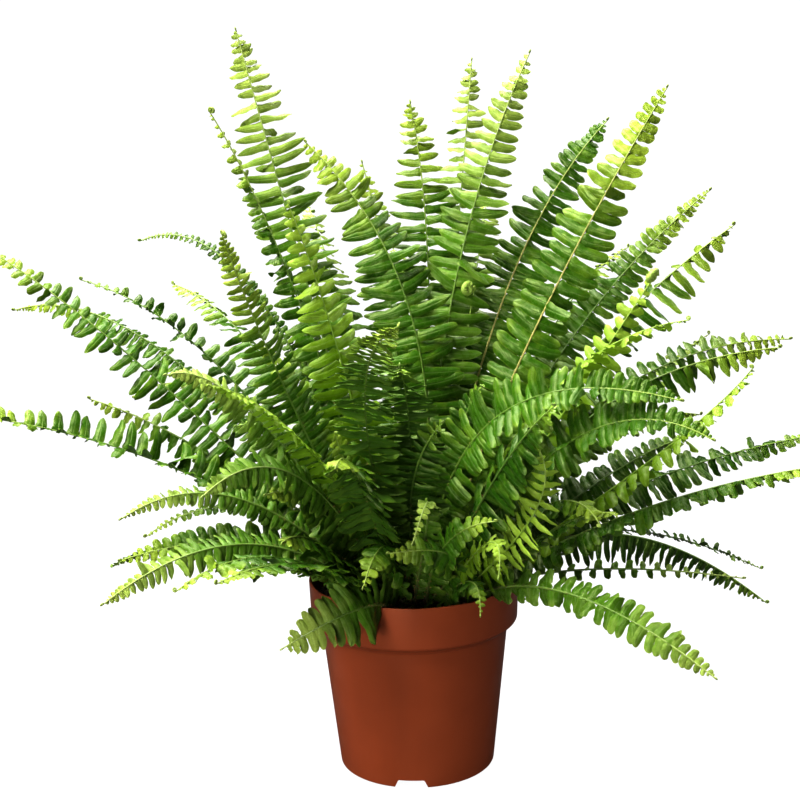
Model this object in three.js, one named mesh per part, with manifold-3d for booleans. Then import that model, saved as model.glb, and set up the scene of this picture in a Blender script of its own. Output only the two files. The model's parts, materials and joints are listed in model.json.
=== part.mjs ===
// A sword fern in its nursery pot: pot, soil, and about eighty fronds that stand in holes in the soil.
// Millimetres, +Z up. The origin is the middle of the pot's foot, on the surface that it stands on,
// and -Y is the side that shows in the usual front view.
import * as THREE from "three";
import Module from "manifold-3d";
import { mergeVertices } from "three/addons/utils/BufferGeometryUtils.js";

const wasm = await Module();
wasm.setup();

// ---- Pot ----
const POT_HEIGHT = 128;
const RIM_RADIUS = 70;
const RIM_BAND = 27; // height of the upright band round the rim
const RIM_DRAFT = 1; // the band is this much narrower at its foot
const NECK_RADIUS = 62.2; // outside, under the band
const NECK_DROP = 8; // height of the curve from the band in to the body
const FOOT_RADIUS = 52;
const WALL = 1.5;
const FOOT_WIDTH = 2.6; // the ring that the pot stands on
const FOOT_HEIGHT = 7; // the floor lies this high above the ground
const FLOOR = 1.5;
const ROUND_STEPS = 36;
const NOTCHES = 3; // water gaps cut in the foot
const NOTCH_WIDTH = 22;
const NOTCH_HEIGHT = 5.5;
const NOTCH_TURN = -95; // degrees, the first one, at the front
const DRAINS = 6;
const DRAIN_RADIUS = 4;
const DRAIN_CIRCLE = 34;
const DRAIN_SIDES = 8;

// ---- Soil ----
const GAP = 0.3; // between neighbours that touch
const SOIL_EDGE = 113;
const SOIL_RISE = 4; // the middle stands this much higher
const HOLE_DEPTH = 8;

// ---- Fronds ----
const STEM_WIDTH = 2.6; // at the soil
const STEM_THICK = 2.2;
const TIP_WIDTH = 1.2;
const BLADE_THICK = 0.8; // at the tips of fronds and leaflets
const STEM_ABOVE = 1.5; // a stem leaves its hole upright for this height
const BARE_SHARE = 0.12; // of a frond's length, from the soil to the first leaflets
const BARE_STEPS = 2;
const LEAFLET_PITCH = 21.8; // along the rib
const CROWDING = 1.25; // over 1, pairs stand closer towards the tip
const SWEEP_LOW = -8; // degrees that leaflets lean forward, first pair and last pair
const SWEEP_HIGH = 6;
const DROOP = 12; // degrees that leaflets hang below the blade's plane
const LOWEST_PAIR = 0.62; // length of the lowest leaflets, as a share of the widest
const WIDEST = 0.3; // where on the leafy stretch a frond is widest
const FULLNESS = 1.25; // how long a frond stays near its full width past there
const TAPER = 0.55;
const LAST_PAIR = 0.2; // length of the last leaflets
const END_LEAFLET = 11;
const LEAFLET_SHARES = [1, 0.8, 0.6, 0.42, 0.25]; // lengths tried, longest first, until one is clear
const CLEARANCE = 0.5; // between leaflets of different fronds
const HEART_RADIUS = 8; // an upright frond's root lies this far from the middle
const CROWN_RADIUS = 44; // and a level one's this far, where the crown ends
const ROOT_SPACING = 7.5;
const ROOT_ROUNDS = 200; // of pushing roots apart
const LIFT = 0.8; // how strongly every blade turns its upper side to the sky
const COIL_RADIUS = 5; // of an unopened frond's curled end
const COIL_WIDTH = 3;
const COIL_THICK = 1.2;
const COIL_TURNS = 1.35;
const COIL_STEPS = 12;
const COIL_TIGHTEN = 0.42; // share of the radius that is left at the middle

// Tones of green, from old and deep to young and yellow.
const TONES = { deep: 0x1f5a1c, mid: 0x2f7a26, fresh: 0x55a032, young: 0x8fc43a };

// Each frond is named by where it stands in the front view. A row holds its name, the middle of its rib,
// its tip, half its width, and its tone. `look` is the compass angle, in degrees from +X, that its upper
// side turns to, where that isn't back to the plant's middle. `lift`, `droop` and `full` replace LIFT,
// DROOP and FULLNESS for that frond. Fronds of one tuft share a root.
// A frond with no width is an unopened stem, and `curled` gives one with leaflets a curled end too.
// Places were read from the front view by eye and rounded to 5 mm; the back was laid out to match.
const FRONDS = [
  ["tall_far_left", [-65, 35, 315], [-110, 60, 490], 29, "fresh", { look: -100, full: 1.7 }],
  ["edge_left", [-70, -5, 315], [-120, -15, 435], 14, "mid", { look: -50 }],
  ["broad_mid_left", [5, 15, 290], [-65, 40, 415], 28, "mid", { look: -90, full: 1.4 }],
  ["behind_mid_left", [-10, 75, 285], [-30, 110, 400], 23, "mid", { look: -90 }],
  ["yellow_left", [-40, -35, 270], [-70, -60, 380], 24, "young", { look: -70 }],
  ["lean_front_left", [-75, -60, 265], [-105, -100, 365], 19, "mid", { look: -80, full: 1.3 }],
  ["thin_back_left", [-100, 50, 310], [-185, 80, 350], 6, "deep", { full: 1.7, look: -90 }],
  ["reach_left_high", [-170, 0, 270], [-285, 10, 360], 20, "mid", { look: -50 }],
  ["reach_left_back", [-170, 75, 270], [-285, 110, 300], 12, "mid", { look: -50, full: 1.6 }],
  ["sweep_left_back", [-125, 45, 260], [-225, 65, 325], 16, "deep", { look: -50, lift: 2, droop: -40 }],
  ["reach_left_low", [-140, -40, 210], [-285, -70, 260], 20, "mid", { look: -60, lift: 2, droop: -40 }],
  ["second_left_low", [-125, 25, 200], [-220, 45, 245], 18, "mid", { look: -50 }],
  ["peek_left", [-125, 80, 230], [-205, 130, 230], 9, "fresh", { tuft: "peek_left" }],
  ["arch_left", [-90, -75, 250], [-140, -110, 285], 15, "fresh", { look: -60, full: 1.6 }],
  ["young_left", [-60, -90, 235], [-115, -140, 285], 14, "young"],
  ["mid_left_dark", [-70, -20, 215], [-110, -40, 240], 18, "deep", { look: -60, tuft: "second_left_low" }],
  ["inner_left_high", [-70, -30, 255], [-95, -40, 290], 17, "mid", { look: -60, tuft: "arch_left" }],
  ["comb_left", [-105, -50, 195], [-175, -90, 195], 10, "fresh",
    { look: -60, tuft: "low_left", full: 1.5 }],
  ["thin_left_low", [-100, -20, 180], [-170, -40, 170], 8, "mid", { look: -60, tuft: "low_left", lift: 2 }],
  ["arch_left_front", [-65, -100, 220], [-115, -160, 225], 15, "fresh", { look: -60, full: 1.6 }],
  ["droop_left", [-100, -80, 175], [-180, -130, 155], 14, "fresh",
    { tuft: "droop_left", look: -80, full: 1.5 }],
  ["droop_left_upper", [-90, -45, 165], [-180, -75, 165], 15, "mid", { tuft: "droop_left", look: -70 }],
  ["droop_left_front", [-80, -110, 175], [-130, -170, 175], 17, "mid"],
  ["droop_left_near", [-60, -110, 170], [-105, -190, 185], 15, "mid"],
  ["over_rim_left", [-35, -90, 135], [-80, -100, 115], 22, "fresh",
    { look: -90, lift: 0.35, full: 1.2, droop: 0 }],
  ["front_centre", [-25, -125, 260], [-5, -225, 325], 18, "mid", { full: 1.5, droop: -5 }],
  ["front_centre_right", [0, -70, 235], [-5, -130, 290], 24, "deep", { droop: 0 }],
  ["front_low_left", [-30, -110, 220], [-40, -185, 245], 22, "mid"],
  ["broad_dark_right", [50, -90, 215], [80, -150, 270], 24, "deep", { look: -120 }],
  ["small_light_centre", [10, -95, 200], [0, -120, 185], 9, "fresh", { look: -90 }],
  ["small_yellow_right", [45, -90, 175], [50, -110, 160], 10, "young", { look: -90, tuft: "small_front" }],
  ["small_at_rim", [35, -70, 145], [40, -90, 130], 10, "mid", { look: -90, tuft: "small_front" }],
  ["low_front_right", [25, -70, 160], [-15, -90, 170], 14, "mid", { look: -90, full: 1.6 }],
  ["front_low_right", [20, -75, 170], [50, -95, 190], 14, "mid", { look: -90, tuft: "low_front_right" }],
  ["inner_front_dark", [0, -60, 200], [20, -90, 250], 21, "deep",
    { look: -80, tuft: "front_centre_right", droop: 0 }],
  ["inner_front_left", [-35, -65, 205], [-45, -90, 245], 18, "mid", { look: -70, tuft: "front_low_left" }],
  ["low_left_inner", [-55, -80, 195], [-85, -120, 215], 16, "mid", { look: -70, tuft: "droop_left_front" }],
  ["low_left_near", [-55, -85, 175], [-75, -135, 190], 16, "mid", { tuft: "droop_left_near" }],
  ["front_drop", [-15, -75, 170], [-30, -110, 155], 15, "mid", { look: -90, tuft: "small_light_centre" }],
  ["inner_right_dark", [30, -35, 225], [45, -60, 265], 19, "deep", { look: -100, tuft: "arch_right_high" }],
  ["crozier_centre", [30, 30, 230], [45, 35, 315], 0, "young"],
  ["tall_right", [30, 30, 310], [85, 50, 470], 26, "fresh", { look: -90, full: 1.4 }],
  ["tall_right_back", [30, 80, 295], [50, 125, 470], 23, "fresh", { look: -90, full: 1.6 }],
  ["tall_centre", [15, 50, 305], [5, 65, 440], 25, "mid", { look: -90, full: 1.6 }],
  ["broad_right", [65, 50, 305], [140, 75, 425], 23, "mid", { look: -90, full: 1.6 }],
  ["broad_right_front", [75, 20, 270], [175, 45, 445], 23, "mid", { look: -90, full: 1.5 }],
  ["reach_right_high", [105, 60, 265], [215, 95, 375], 16, "mid", { look: -100, full: 1.5 }],
  ["spaced_right", [105, 10, 255], [215, 20, 355], 24, "mid",
    { look: -90, lift: 2.5, droop: 45, full: 1.9 }],
  ["curl_right", [95, -35, 240], [150, -55, 330], 15, "young", { look: -90, curled: true, full: 1.7 }],
  ["yellow_right", [80, -65, 255], [160, -110, 310], 15, "young", { full: 1.6 }],
  ["reach_right", [130, 20, 240], [260, 45, 275], 17, "mid", { look: -110, full: 1.7 }],
  ["reach_right_second", [115, -15, 235], [235, -25, 280], 18, "mid",
    { look: -90, lift: 2, droop: 40, full: 1.9 }],
  ["reach_right_third", [140, 65, 220], [220, 115, 270], 15, "fresh", { full: 1.6 }],
  ["young_right", [145, -60, 215], [200, -100, 280], 16, "young", { full: 1.6 }],
  ["arch_right", [95, -85, 235], [170, -135, 245], 21, "mid", { look: -110, droop: -20 }],
  ["arch_right_high", [50, -65, 245], [155, -120, 265], 21, "mid", { look: -100, droop: -20 }],
  ["long_right", [145, 30, 175], [285, 60, 205], 18, "deep", { look: -110, lift: 1.5 }],
  ["long_right_front", [140, -60, 185], [260, -90, 220], 16, "mid"],
  ["dark_right", [130, 40, 145], [250, 70, 105], 12, "deep", { droop: -25 }],
  ["dark_right_low", [130, -5, 155], [235, -5, 105], 20, "deep",
    { tuft: "low_right", lift: 2.5, droop: 50, look: -90 }],
  ["thin_right_low", [110, -35, 140], [210, -45, 135], 7, "fresh", { tuft: "low_right", look: -90 }],
  ["droop_right", [90, -95, 145], [170, -150, 110], 12, "fresh", { look: -90, full: 2, lift: 0.4 }],
  ["young_front_right", [70, -95, 190], [75, -105, 235], 17, "young", { look: -90, full: 1.6, droop: 5 }],
  ["small_right", [80, -65, 190], [110, -110, 190], 14, "mid", { full: 1.6 }],
  ["mid_right_dark", [125, 0, 190], [190, 20, 215], 18, "deep", { look: -100, tuft: "long_right" }],
  ["low_right_inner", [90, -75, 180], [120, -110, 195], 14, "mid", { tuft: "young_front_right" }],
  ["back_left_high", [-100, 95, 255], [-180, 175, 310], 22, "mid", { tuft: "back_left" }],
  ["back_left_droop", [-85, 105, 165], [-150, 195, 125], 20, "deep", { tuft: "back_left" }],
  ["back_inner_left_high", [-45, 95, 285], [-75, 175, 370], 24, "fresh", { tuft: "back_inner_left" }],
  ["back_inner_left_low", [-55, 120, 225], [-100, 220, 240], 22, "mid", { tuft: "back_inner_left" }],
  ["back_centre_high", [0, 110, 270], [-10, 210, 330], 24, "mid", { tuft: "back_centre" }],
  ["back_centre_low", [0, 120, 200], [10, 225, 195], 22, "deep", { tuft: "back_centre" }],
  ["back_inner_right_high", [45, 105, 290], [65, 190, 380], 24, "fresh", { tuft: "back_inner_right" }],
  ["back_inner_right_low", [60, 115, 220], [105, 215, 235], 22, "mid", { tuft: "back_inner_right" }],
  ["back_right_high", [95, 95, 265], [170, 175, 330], 22, "mid", { tuft: "back_right" }],
  ["back_right_low", [120, 95, 195], [225, 165, 200], 20, "mid", { tuft: "back_right" }],
  ["back_droop_right", [75, 105, 165], [145, 195, 125], 20, "deep"],
  ["back_droop_centre", [25, 115, 160], [50, 215, 115], 20, "mid", { tuft: "back_droop_centre" }],
  ["back_droop_left", [-35, 115, 165], [-60, 215, 120], 20, "mid", { tuft: "back_droop_centre" }],
  ["left_droop", [-120, 30, 150], [-215, 60, 120], 18, "deep", { tuft: "peek_left" }],
].map(([name, mid, tip, half, tone, more]) => ({ name, mid, tip, half, tone, ...more }));

const radians = THREE.MathUtils.degToRad;
const mix = THREE.MathUtils.lerp;

// ---- Solids ----

// A closed geometry as a solid that can be cut and joined.
function solidOf(geometry) {
  const bare = new THREE.BufferGeometry();
  bare.setAttribute("position", geometry.getAttribute("position"));
  bare.setIndex(geometry.getIndex());
  const merged = mergeVertices(bare, 1e-4);
  const index = merged.index.array;
  const kept = [];
  for (let i = 0; i < index.length; i += 3) {
    const [a, b, c] = [index[i], index[i + 1], index[i + 2]];
    if (a !== b && b !== c && c !== a) kept.push(a, b, c); // a lathe has empty triangles on its axis
  }
  return new wasm.Manifold(
    new wasm.Mesh({
      numProp: 3,
      vertProperties: merged.attributes.position.array,
      triVerts: new Uint32Array(kept),
    }),
  );
}

function geometryOf(solid) {
  const mesh = solid.getMesh();
  return new THREE.BufferGeometry()
    .setAttribute("position", new THREE.BufferAttribute(mesh.vertProperties, 3))
    .setIndex(new THREE.BufferAttribute(mesh.triVerts, 1));
}

// A solid turned from an outline of [radius, height] that starts and ends on the axis, lowest point first.
function turned(outline) {
  const points = outline.map(([radius, height]) => new THREE.Vector2(radius, height));
  return new THREE.LatheGeometry(points, ROUND_STEPS).rotateX(Math.PI / 2);
}

function potGeometry() {
  const band = POT_HEIGHT - RIM_BAND;
  const neck = band - NECK_DROP;
  const bandFoot = RIM_RADIUS - RIM_DRAFT;
  const reach = bandFoot - NECK_RADIUS;
  const outside = [
    [0, FOOT_HEIGHT],
    [FOOT_RADIUS - FOOT_WIDTH, FOOT_HEIGHT],
    [FOOT_RADIUS - FOOT_WIDTH, 0],
    [FOOT_RADIUS, 0],
    [NECK_RADIUS, neck],
    [NECK_RADIUS + 0.5 * reach, neck + 0.3 * NECK_DROP],
    [bandFoot - 0.1 * reach, neck + 0.7 * NECK_DROP],
    [bandFoot, band],
    [RIM_RADIUS, POT_HEIGHT - 1],
    [RIM_RADIUS - 0.5, POT_HEIGHT],
  ];
  const inside = [
    [RIM_RADIUS - WALL, POT_HEIGHT],
    [bandFoot - WALL, band],
    [NECK_RADIUS - WALL, neck],
    [FOOT_RADIUS - WALL, FOOT_HEIGHT + FLOOR],
    [0, FOOT_HEIGHT + FLOOR],
  ];
  let pot = solidOf(turned([...outside, ...inside]));
  const around = (count, first, cutter) => {
    for (let i = 0; i < count; i++) {
      const turn = radians(first) + (i * 2 * Math.PI) / count;
      pot = pot.subtract(solidOf(cutter().rotateZ(turn)));
    }
  };
  around(NOTCHES, NOTCH_TURN, () =>
    new THREE.BoxGeometry(4 * FOOT_WIDTH, NOTCH_WIDTH, 2 * NOTCH_HEIGHT).translate(FOOT_RADIUS, 0, 0),
  );
  around(DRAINS, 0, () =>
    new THREE.CylinderGeometry(DRAIN_RADIUS, DRAIN_RADIUS, 4 * FLOOR, DRAIN_SIDES)
      .rotateX(Math.PI / 2)
      .translate(DRAIN_CIRCLE, 0, FOOT_HEIGHT + FLOOR / 2),
  );
  return geometryOf(pot);
}

const soilRadius = RIM_RADIUS - RIM_DRAFT - WALL - GAP;

function soilHeight(radius) {
  return SOIL_EDGE + SOIL_RISE * (1 - (radius / soilRadius) ** 2);
}

function soilGeometry(feet) {
  const band = POT_HEIGHT - RIM_BAND;
  const outline = [
    [0, FOOT_HEIGHT + FLOOR + GAP],
    [FOOT_RADIUS - WALL - GAP, FOOT_HEIGHT + FLOOR + GAP],
    [NECK_RADIUS - WALL - GAP, band - NECK_DROP + GAP],
    [soilRadius, band + GAP],
    [soilRadius, SOIL_EDGE],
    [0.6 * soilRadius, soilHeight(0.6 * soilRadius)],
    [0, soilHeight(0)],
  ];
  let soil = solidOf(turned(outline));
  for (const { foot, turn } of feet) {
    const hole = new THREE.BoxGeometry(
      STEM_THICK + 2 * GAP,
      STEM_WIDTH + 2 * GAP,
      2 * HOLE_DEPTH,
    );
    hole.rotateZ(turn).translate(foot.x, foot.y, foot.z - GAP + HOLE_DEPTH);
    soil = soil.subtract(solidOf(hole));
  }
  return geometryOf(soil);
}

// ---- Where the fronds root ----

// Upright fronds root near the middle and low ones further out, each on its own side.
// The roots are then pushed apart until none is closer to the next than ROOT_SPACING.
function placeRoots(rows) {
  const roots = new Map();
  for (const row of rows) {
    const key = row.tuft ?? row.name;
    const side = new THREE.Vector2(row.mid[0], row.mid[1]);
    const lean = Math.atan2(side.length(), row.mid[2] - SOIL_EDGE);
    const root = side.clone().setLength(mix(HEART_RADIUS, CROWN_RADIUS, (lean * 2) / Math.PI));
    if (roots.has(key)) roots.get(key).lerp(root, 0.5);
    else roots.set(key, root);
  }
  const list = [...roots.values()];
  for (let round = 0; round < ROOT_ROUNDS; round++) {
    for (const a of list) {
      for (const b of list) {
        const apart = b.clone().sub(a);
        const short = ROOT_SPACING - apart.length();
        if (a === b || short <= 0) continue;
        apart.setLength(short / 4);
        a.sub(apart);
        b.add(apart);
      }
      if (a.length() > CROWN_RADIUS) a.setLength(CROWN_RADIUS);
    }
  }
  return roots;
}

// ---- A frond's rib ----

// The rib's stations from the hole to the tip: place, direction, sideways, outward from the upper side,
// and the section there. Stations from `leafy` on carry a pair of leaflets each.
function ribOf(row, root, shared) {
  const ground = soilHeight(root.length());
  const start = new THREE.Vector3(root.x, root.y, ground + STEM_ABOVE);
  const mid = new THREE.Vector3(...row.mid);
  const tip = new THREE.Vector3(...row.tip);
  const bend = mid.clone().multiplyScalar(2).sub(start.clone().add(tip).multiplyScalar(0.5));
  const curve = new THREE.QuadraticBezierCurve3(start, bend, tip);
  const outward = Math.atan2(mid.y - root.y, mid.x - root.x);
  const look = row.look === undefined ? outward + Math.PI : radians(row.look);
  const face = new THREE.Vector3(Math.cos(look), Math.sin(look), row.lift ?? LIFT);
  const length = curve.getLength();
  const pairs = Math.max(4, Math.round((length * (1 - BARE_SHARE)) / LEAFLET_PITCH));
  const shares = [];
  for (let i = 0; i < BARE_STEPS; i++) shares.push((BARE_SHARE * i) / BARE_STEPS);
  for (let i = 0; i <= pairs; i++) {
    const crowded = 1 - (1 - i / pairs) ** CROWDING;
    shares.push(mix(BARE_SHARE, 1 - END_LEAFLET / length, crowded));
  }
  const stations = shares.map((share) =>
    station(curve.getPointAt(share), curve.getTangentAt(share), face, share),
  );
  const first = stations[0];
  const turn = shared?.turn ?? Math.atan2(first.side.x, -first.side.y);
  first.normal = new THREE.Vector3(Math.cos(turn), Math.sin(turn), 0);
  first.side = new THREE.Vector3(Math.sin(turn), -Math.cos(turn), 0);
  const foot = start.clone().setZ(ground - HOLE_DEPTH + GAP);
  stations.unshift({ ...first, place: foot });
  const leaves = { from: BARE_STEPS + 1, to: stations.length - 1 };
  return { row, curve, face, stations, leaves, foot, turn, tip };
}

function station(place, along, face, share) {
  const normal = face.clone().addScaledVector(along, -face.dot(along)).normalize();
  const side = new THREE.Vector3().crossVectors(normal, along);
  const width = mix(STEM_WIDTH, TIP_WIDTH, share);
  const thick = mix(STEM_THICK, BLADE_THICK, share);
  return { place, along, normal, side, width, thick };
}

// The curled end of an unopened frond: a spiral that winds in towards the upper side.
function addCoil({ curve, stations, face }) {
  const along = curve.getTangent(1);
  const end = station(curve.getPoint(1), along, face, 1);
  const middle = end.place.clone().addScaledVector(end.normal, COIL_RADIUS);
  for (let i = 1; i <= COIL_STEPS; i++) {
    const share = i / COIL_STEPS;
    const turn = share * COIL_TURNS * 2 * Math.PI;
    const radius = COIL_RADIUS * mix(1, COIL_TIGHTEN, share);
    const outward = end.normal
      .clone()
      .multiplyScalar(-Math.cos(turn))
      .addScaledVector(along, Math.sin(turn));
    const tangent = end.normal
      .clone()
      .multiplyScalar(Math.sin(turn))
      .addScaledVector(along, Math.cos(turn));
    const place = middle.clone().addScaledVector(outward, radius);
    const normal = outward.clone().negate();
    stations.push({ ...end, place, along: tangent, normal, width: COIL_WIDTH, thick: COIL_THICK });
  }
}

// Corner of a station's section: side is 1 or -1, up is 1 or -1.
function corner({ place, side, normal, width, thick }, sideways, up) {
  return place
    .clone()
    .addScaledVector(side, (sideways * width) / 2)
    .addScaledVector(normal, (up * thick) / 2);
}

// Share of the half width that a leaflet has: it grows to the widest pair, stays near it for a while,
// then tapers to the tip.
function leafletShape(along, full = FULLNESS) {
  if (along < WIDEST) return mix(LOWEST_PAIR, 1, along / WIDEST);
  const past = (along - WIDEST) / (1 - WIDEST);
  return THREE.MathUtils.clamp(full * (1 - past) ** TAPER, LAST_PAIR, 1);
}

// The point of the leaflet between stations i and i + 1, at this share of its full length.
function leafletTip(rib, i, sideways, share) {
  const { stations, leaves, row } = rib;
  const a = stations[i];
  const b = stations[i + 1];
  const along = (i - leaves.from + 0.5) / (leaves.to - leaves.from);
  const length = row.half * leafletShape(along, row.full) * share;
  const sweep = radians(mix(SWEEP_LOW, SWEEP_HIGH, along));
  const droop = radians(row.droop ?? DROOP);
  return a.place
    .clone()
    .lerp(b.place, 0.5)
    .addScaledVector(a.side, sideways * length * Math.cos(sweep) * Math.cos(droop))
    .addScaledVector(a.along, length * Math.sin(sweep))
    .addScaledVector(a.normal, -length * Math.sin(droop));
}

// ---- Keeping leaflets clear of other fronds ----

// A small convex body, by its corners, with the directions in which it may be told apart from another.
function body(corners, normals, edges, owner) {
  const box = new THREE.Box3().setFromPoints(corners).expandByScalar(CLEARANCE);
  return { corners, normals, edges, owner, box };
}

function leafletBody(rib, i, sideways, share) {
  const a = rib.stations[i];
  const b = rib.stations[i + 1];
  const tip = leafletTip(rib, i, sideways, share);
  const corners = [];
  for (const up of [1, -1]) {
    corners.push(corner(a, sideways, up), corner(b, sideways, up));
    corners.push(tip.clone().addScaledVector(a.normal, (up * BLADE_THICK) / 2));
  }
  const edges = [
    tip.clone().sub(a.place).normalize(),
    tip.clone().sub(b.place).normalize(),
    b.place.clone().sub(a.place).normalize(),
    a.normal,
  ];
  const plane = new THREE.Vector3().crossVectors(edges[0], edges[1]).normalize();
  const normals = [plane, ...edges.slice(0, 3).map((edge) => edge.clone().cross(plane).normalize())];
  return body(corners, normals, edges, rib);
}

function stretchBody(rib, i) {
  const a = rib.stations[i];
  const b = rib.stations[i + 1];
  const corners = [];
  for (const end of [a, b]) {
    for (const sideways of [1, -1]) {
      for (const up of [1, -1]) corners.push(corner(end, sideways, up));
    }
  }
  const edges = [b.place.clone().sub(a.place).normalize(), a.side, a.normal];
  const normals = [a.normal, a.side, edges[0]];
  return body(corners, normals, edges, rib);
}

// Two bodies are clear of each other if some direction shows a gap between them.
function clear(a, b) {
  if (!a.box.intersectsBox(b.box)) return true;
  const gapAlong = (direction) => {
    const spread = ({ corners }) => {
      const reach = corners.map((point) => point.dot(direction));
      return [Math.min(...reach), Math.max(...reach)];
    };
    const [lowA, highA] = spread(a);
    const [lowB, highB] = spread(b);
    return Math.max(lowA - highB, lowB - highA);
  };
  const directions = [...a.normals, ...b.normals];
  for (const one of a.edges) {
    for (const other of b.edges) {
      const cross = new THREE.Vector3().crossVectors(one, other);
      if (cross.length() > 0.05) directions.push(cross.normalize());
    }
  }
  return directions.some((direction) => gapAlong(direction) > CLEARANCE);
}

// The rim's upright band as short straight walls.
function rimBodies() {
  const bodies = [];
  for (let i = 0; i < ROUND_STEPS; i++) {
    const turn = ((i + 0.5) * 2 * Math.PI) / ROUND_STEPS;
    const wide = 1.05 * RIM_RADIUS * Math.tan(Math.PI / ROUND_STEPS);
    const out = new THREE.Vector3(Math.cos(turn), Math.sin(turn), 0);
    const along = new THREE.Vector3(-out.y, out.x, 0);
    const up = new THREE.Vector3(0, 0, 1);
    const corners = [];
    for (const radius of [RIM_RADIUS - WALL - RIM_DRAFT, RIM_RADIUS]) {
      for (const shift of [-wide, wide]) {
        for (const height of [POT_HEIGHT - RIM_BAND, POT_HEIGHT]) {
          const point = new THREE.Vector3(0, 0, height);
          corners.push(point.addScaledVector(out, radius).addScaledVector(along, shift));
        }
      }
    }
    bodies.push(body(corners, [out, along, up], [out, along, up], null));
  }
  return bodies;
}

// Over the pot a leaflet stays above the soil.
function clearOfSoil({ corners }) {
  return corners.every(({ x, y, z }) => Math.hypot(x, y) > RIM_RADIUS || z > soilHeight(0) + 1);
}

// The length of every leaflet: the longest of LEAFLET_SHARES that is clear, or none.
function settleLeaflets(ribs) {
  const placed = rimBodies();
  for (const rib of ribs) {
    for (let i = 0; i + 1 < rib.stations.length; i++) placed.push(stretchBody(rib, i));
  }
  for (const rib of ribs) {
    rib.leaflets = new Map();
    if (!rib.row.half) continue;
    for (let i = rib.leaves.from; i < rib.leaves.to; i++) {
      for (const sideways of [1, -1]) {
        for (const share of LEAFLET_SHARES) {
          const leaflet = leafletBody(rib, i, sideways, share);
          const others = placed.filter((other) => other.owner !== rib);
          if (!clearOfSoil(leaflet) || !others.every((other) => clear(leaflet, other))) continue;
          placed.push(leaflet);
          rib.leaflets.set(`${i} ${sideways}`, share);
          break;
        }
      }
    }
  }
}

// ---- A frond's solid: a rib with leaflets cut down to it, top and bottom split alike ----

function frondGeometry(rib) {
  const { stations } = rib;
  const points = [];
  const faces = [];
  const add = (point) => points.push(point.x, point.y, point.z) / 3 - 1;
  const triangle = (sideways, a, b, c) => (sideways > 0 ? faces.push(a, b, c) : faces.push(a, c, b));
  const quad = (sideways, a, b, c, d) => {
    triangle(sideways, a, b, c);
    triangle(sideways, a, c, d);
  };
  // rows[i] holds a station's four corners: left top, left bottom, right top, right bottom
  const rows = stations.map((at) =>
    [1, -1].flatMap((sideways) => [1, -1].map((up) => add(corner(at, sideways, up)))),
  );
  const [footLT, footLB, footRT, footRB] = rows[0];
  quad(1, footLT, footLB, footRB, footRT);
  for (let i = 0; i + 1 < rows.length; i++) {
    const [lt, lb, rt, rb] = rows[i];
    const [nextLT, nextLB, nextRT, nextRB] = rows[i + 1];
    quad(1, lt, rt, nextRT, nextLT);
    quad(-1, lb, rb, nextRB, nextLB);
    for (const sideways of [1, -1]) {
      const [top, low, nextTop, nextLow] =
        sideways > 0 ? [lt, lb, nextLT, nextLB] : [rt, rb, nextRT, nextRB];
      const share = rib.leaflets.get(`${i} ${sideways}`);
      if (!share) {
        quad(sideways, top, nextTop, nextLow, low);
        continue;
      }
      const tip = leafletTip(rib, i, sideways, share);
      const [tipTop, tipLow] = [1, -1].map((up) =>
        add(tip.clone().addScaledVector(stations[i].normal, (up * BLADE_THICK) / 2)),
      );
      triangle(sideways, top, nextTop, tipTop);
      triangle(-sideways, low, nextLow, tipLow);
      quad(sideways, top, tipTop, tipLow, low);
      quad(sideways, tipTop, nextTop, nextLow, tipLow);
    }
  }
  const [lt, lb, rt, rb] = rows.at(-1);
  if (rib.row.half && !rib.row.curled) {
    const last = stations.at(-1);
    const [top, low] = [1, -1].map((up) =>
      add(rib.tip.clone().addScaledVector(last.normal, (up * BLADE_THICK) / 2)),
    );
    triangle(1, lt, rt, top);
    triangle(-1, lb, rb, low);
    quad(1, lt, top, low, lb);
    quad(-1, rt, top, low, rb);
  } else {
    quad(-1, lt, lb, rb, rt);
  }
  return new THREE.BufferGeometry()
    .setAttribute("position", new THREE.Float32BufferAttribute(points, 3))
    .setIndex(faces);
}

// ---- The whole plant ----

const roots = placeRoots(FRONDS);
const tufts = new Map(); // each tuft's ribs, by its name; most have one
for (const row of FRONDS) {
  const name = row.tuft ?? row.name;
  const tuft = tufts.get(name) ?? [];
  tuft.push(ribOf(row, roots.get(name), tuft[0]));
  tufts.set(name, tuft);
}
const ribs = [...tufts.values()].flat();
for (const rib of ribs) {
  if (rib.row.curled || !rib.row.half) addCoil(rib);
}
settleLeaflets(ribs);

const fern = new THREE.Group();

function addPiece(name, geometry, color, roughness) {
  const material = new THREE.MeshStandardMaterial({ color, roughness, metalness: 0 });
  const mesh = new THREE.Mesh(geometry, material);
  mesh.name = name;
  fern.add(mesh);
}

addPiece("pot", potGeometry(), 0x9c4a2e, 0.45);
addPiece("soil", soilGeometry([...tufts.values()].map(([first]) => first)), 0x2e2118, 1);
for (const [name, tuft] of tufts) {
  const [first, ...others] = tuft.map(frondGeometry);
  const join = (all, next) => geometryOf(solidOf(all).add(solidOf(next)));
  addPiece(`frond_${name}`, others.reduce(join, first), TONES[tuft[0].row.tone], 0.55);
}

export default fern;
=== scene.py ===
"""Looks of a sword fern in its nursery pot, in the place and form of its solids.

Metres, +Z up. -Y is the front. Every frond grows along the same rib as its solid, with leaflets at their
true spacing.
"""

import json
import random
from itertools import combinations
from math import atan2, cos, hypot, pi, radians, sin, sqrt, tan, tau

import bpy
import numpy as np
from mathutils import Matrix, Vector, noise
from numpy.linalg import norm

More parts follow.
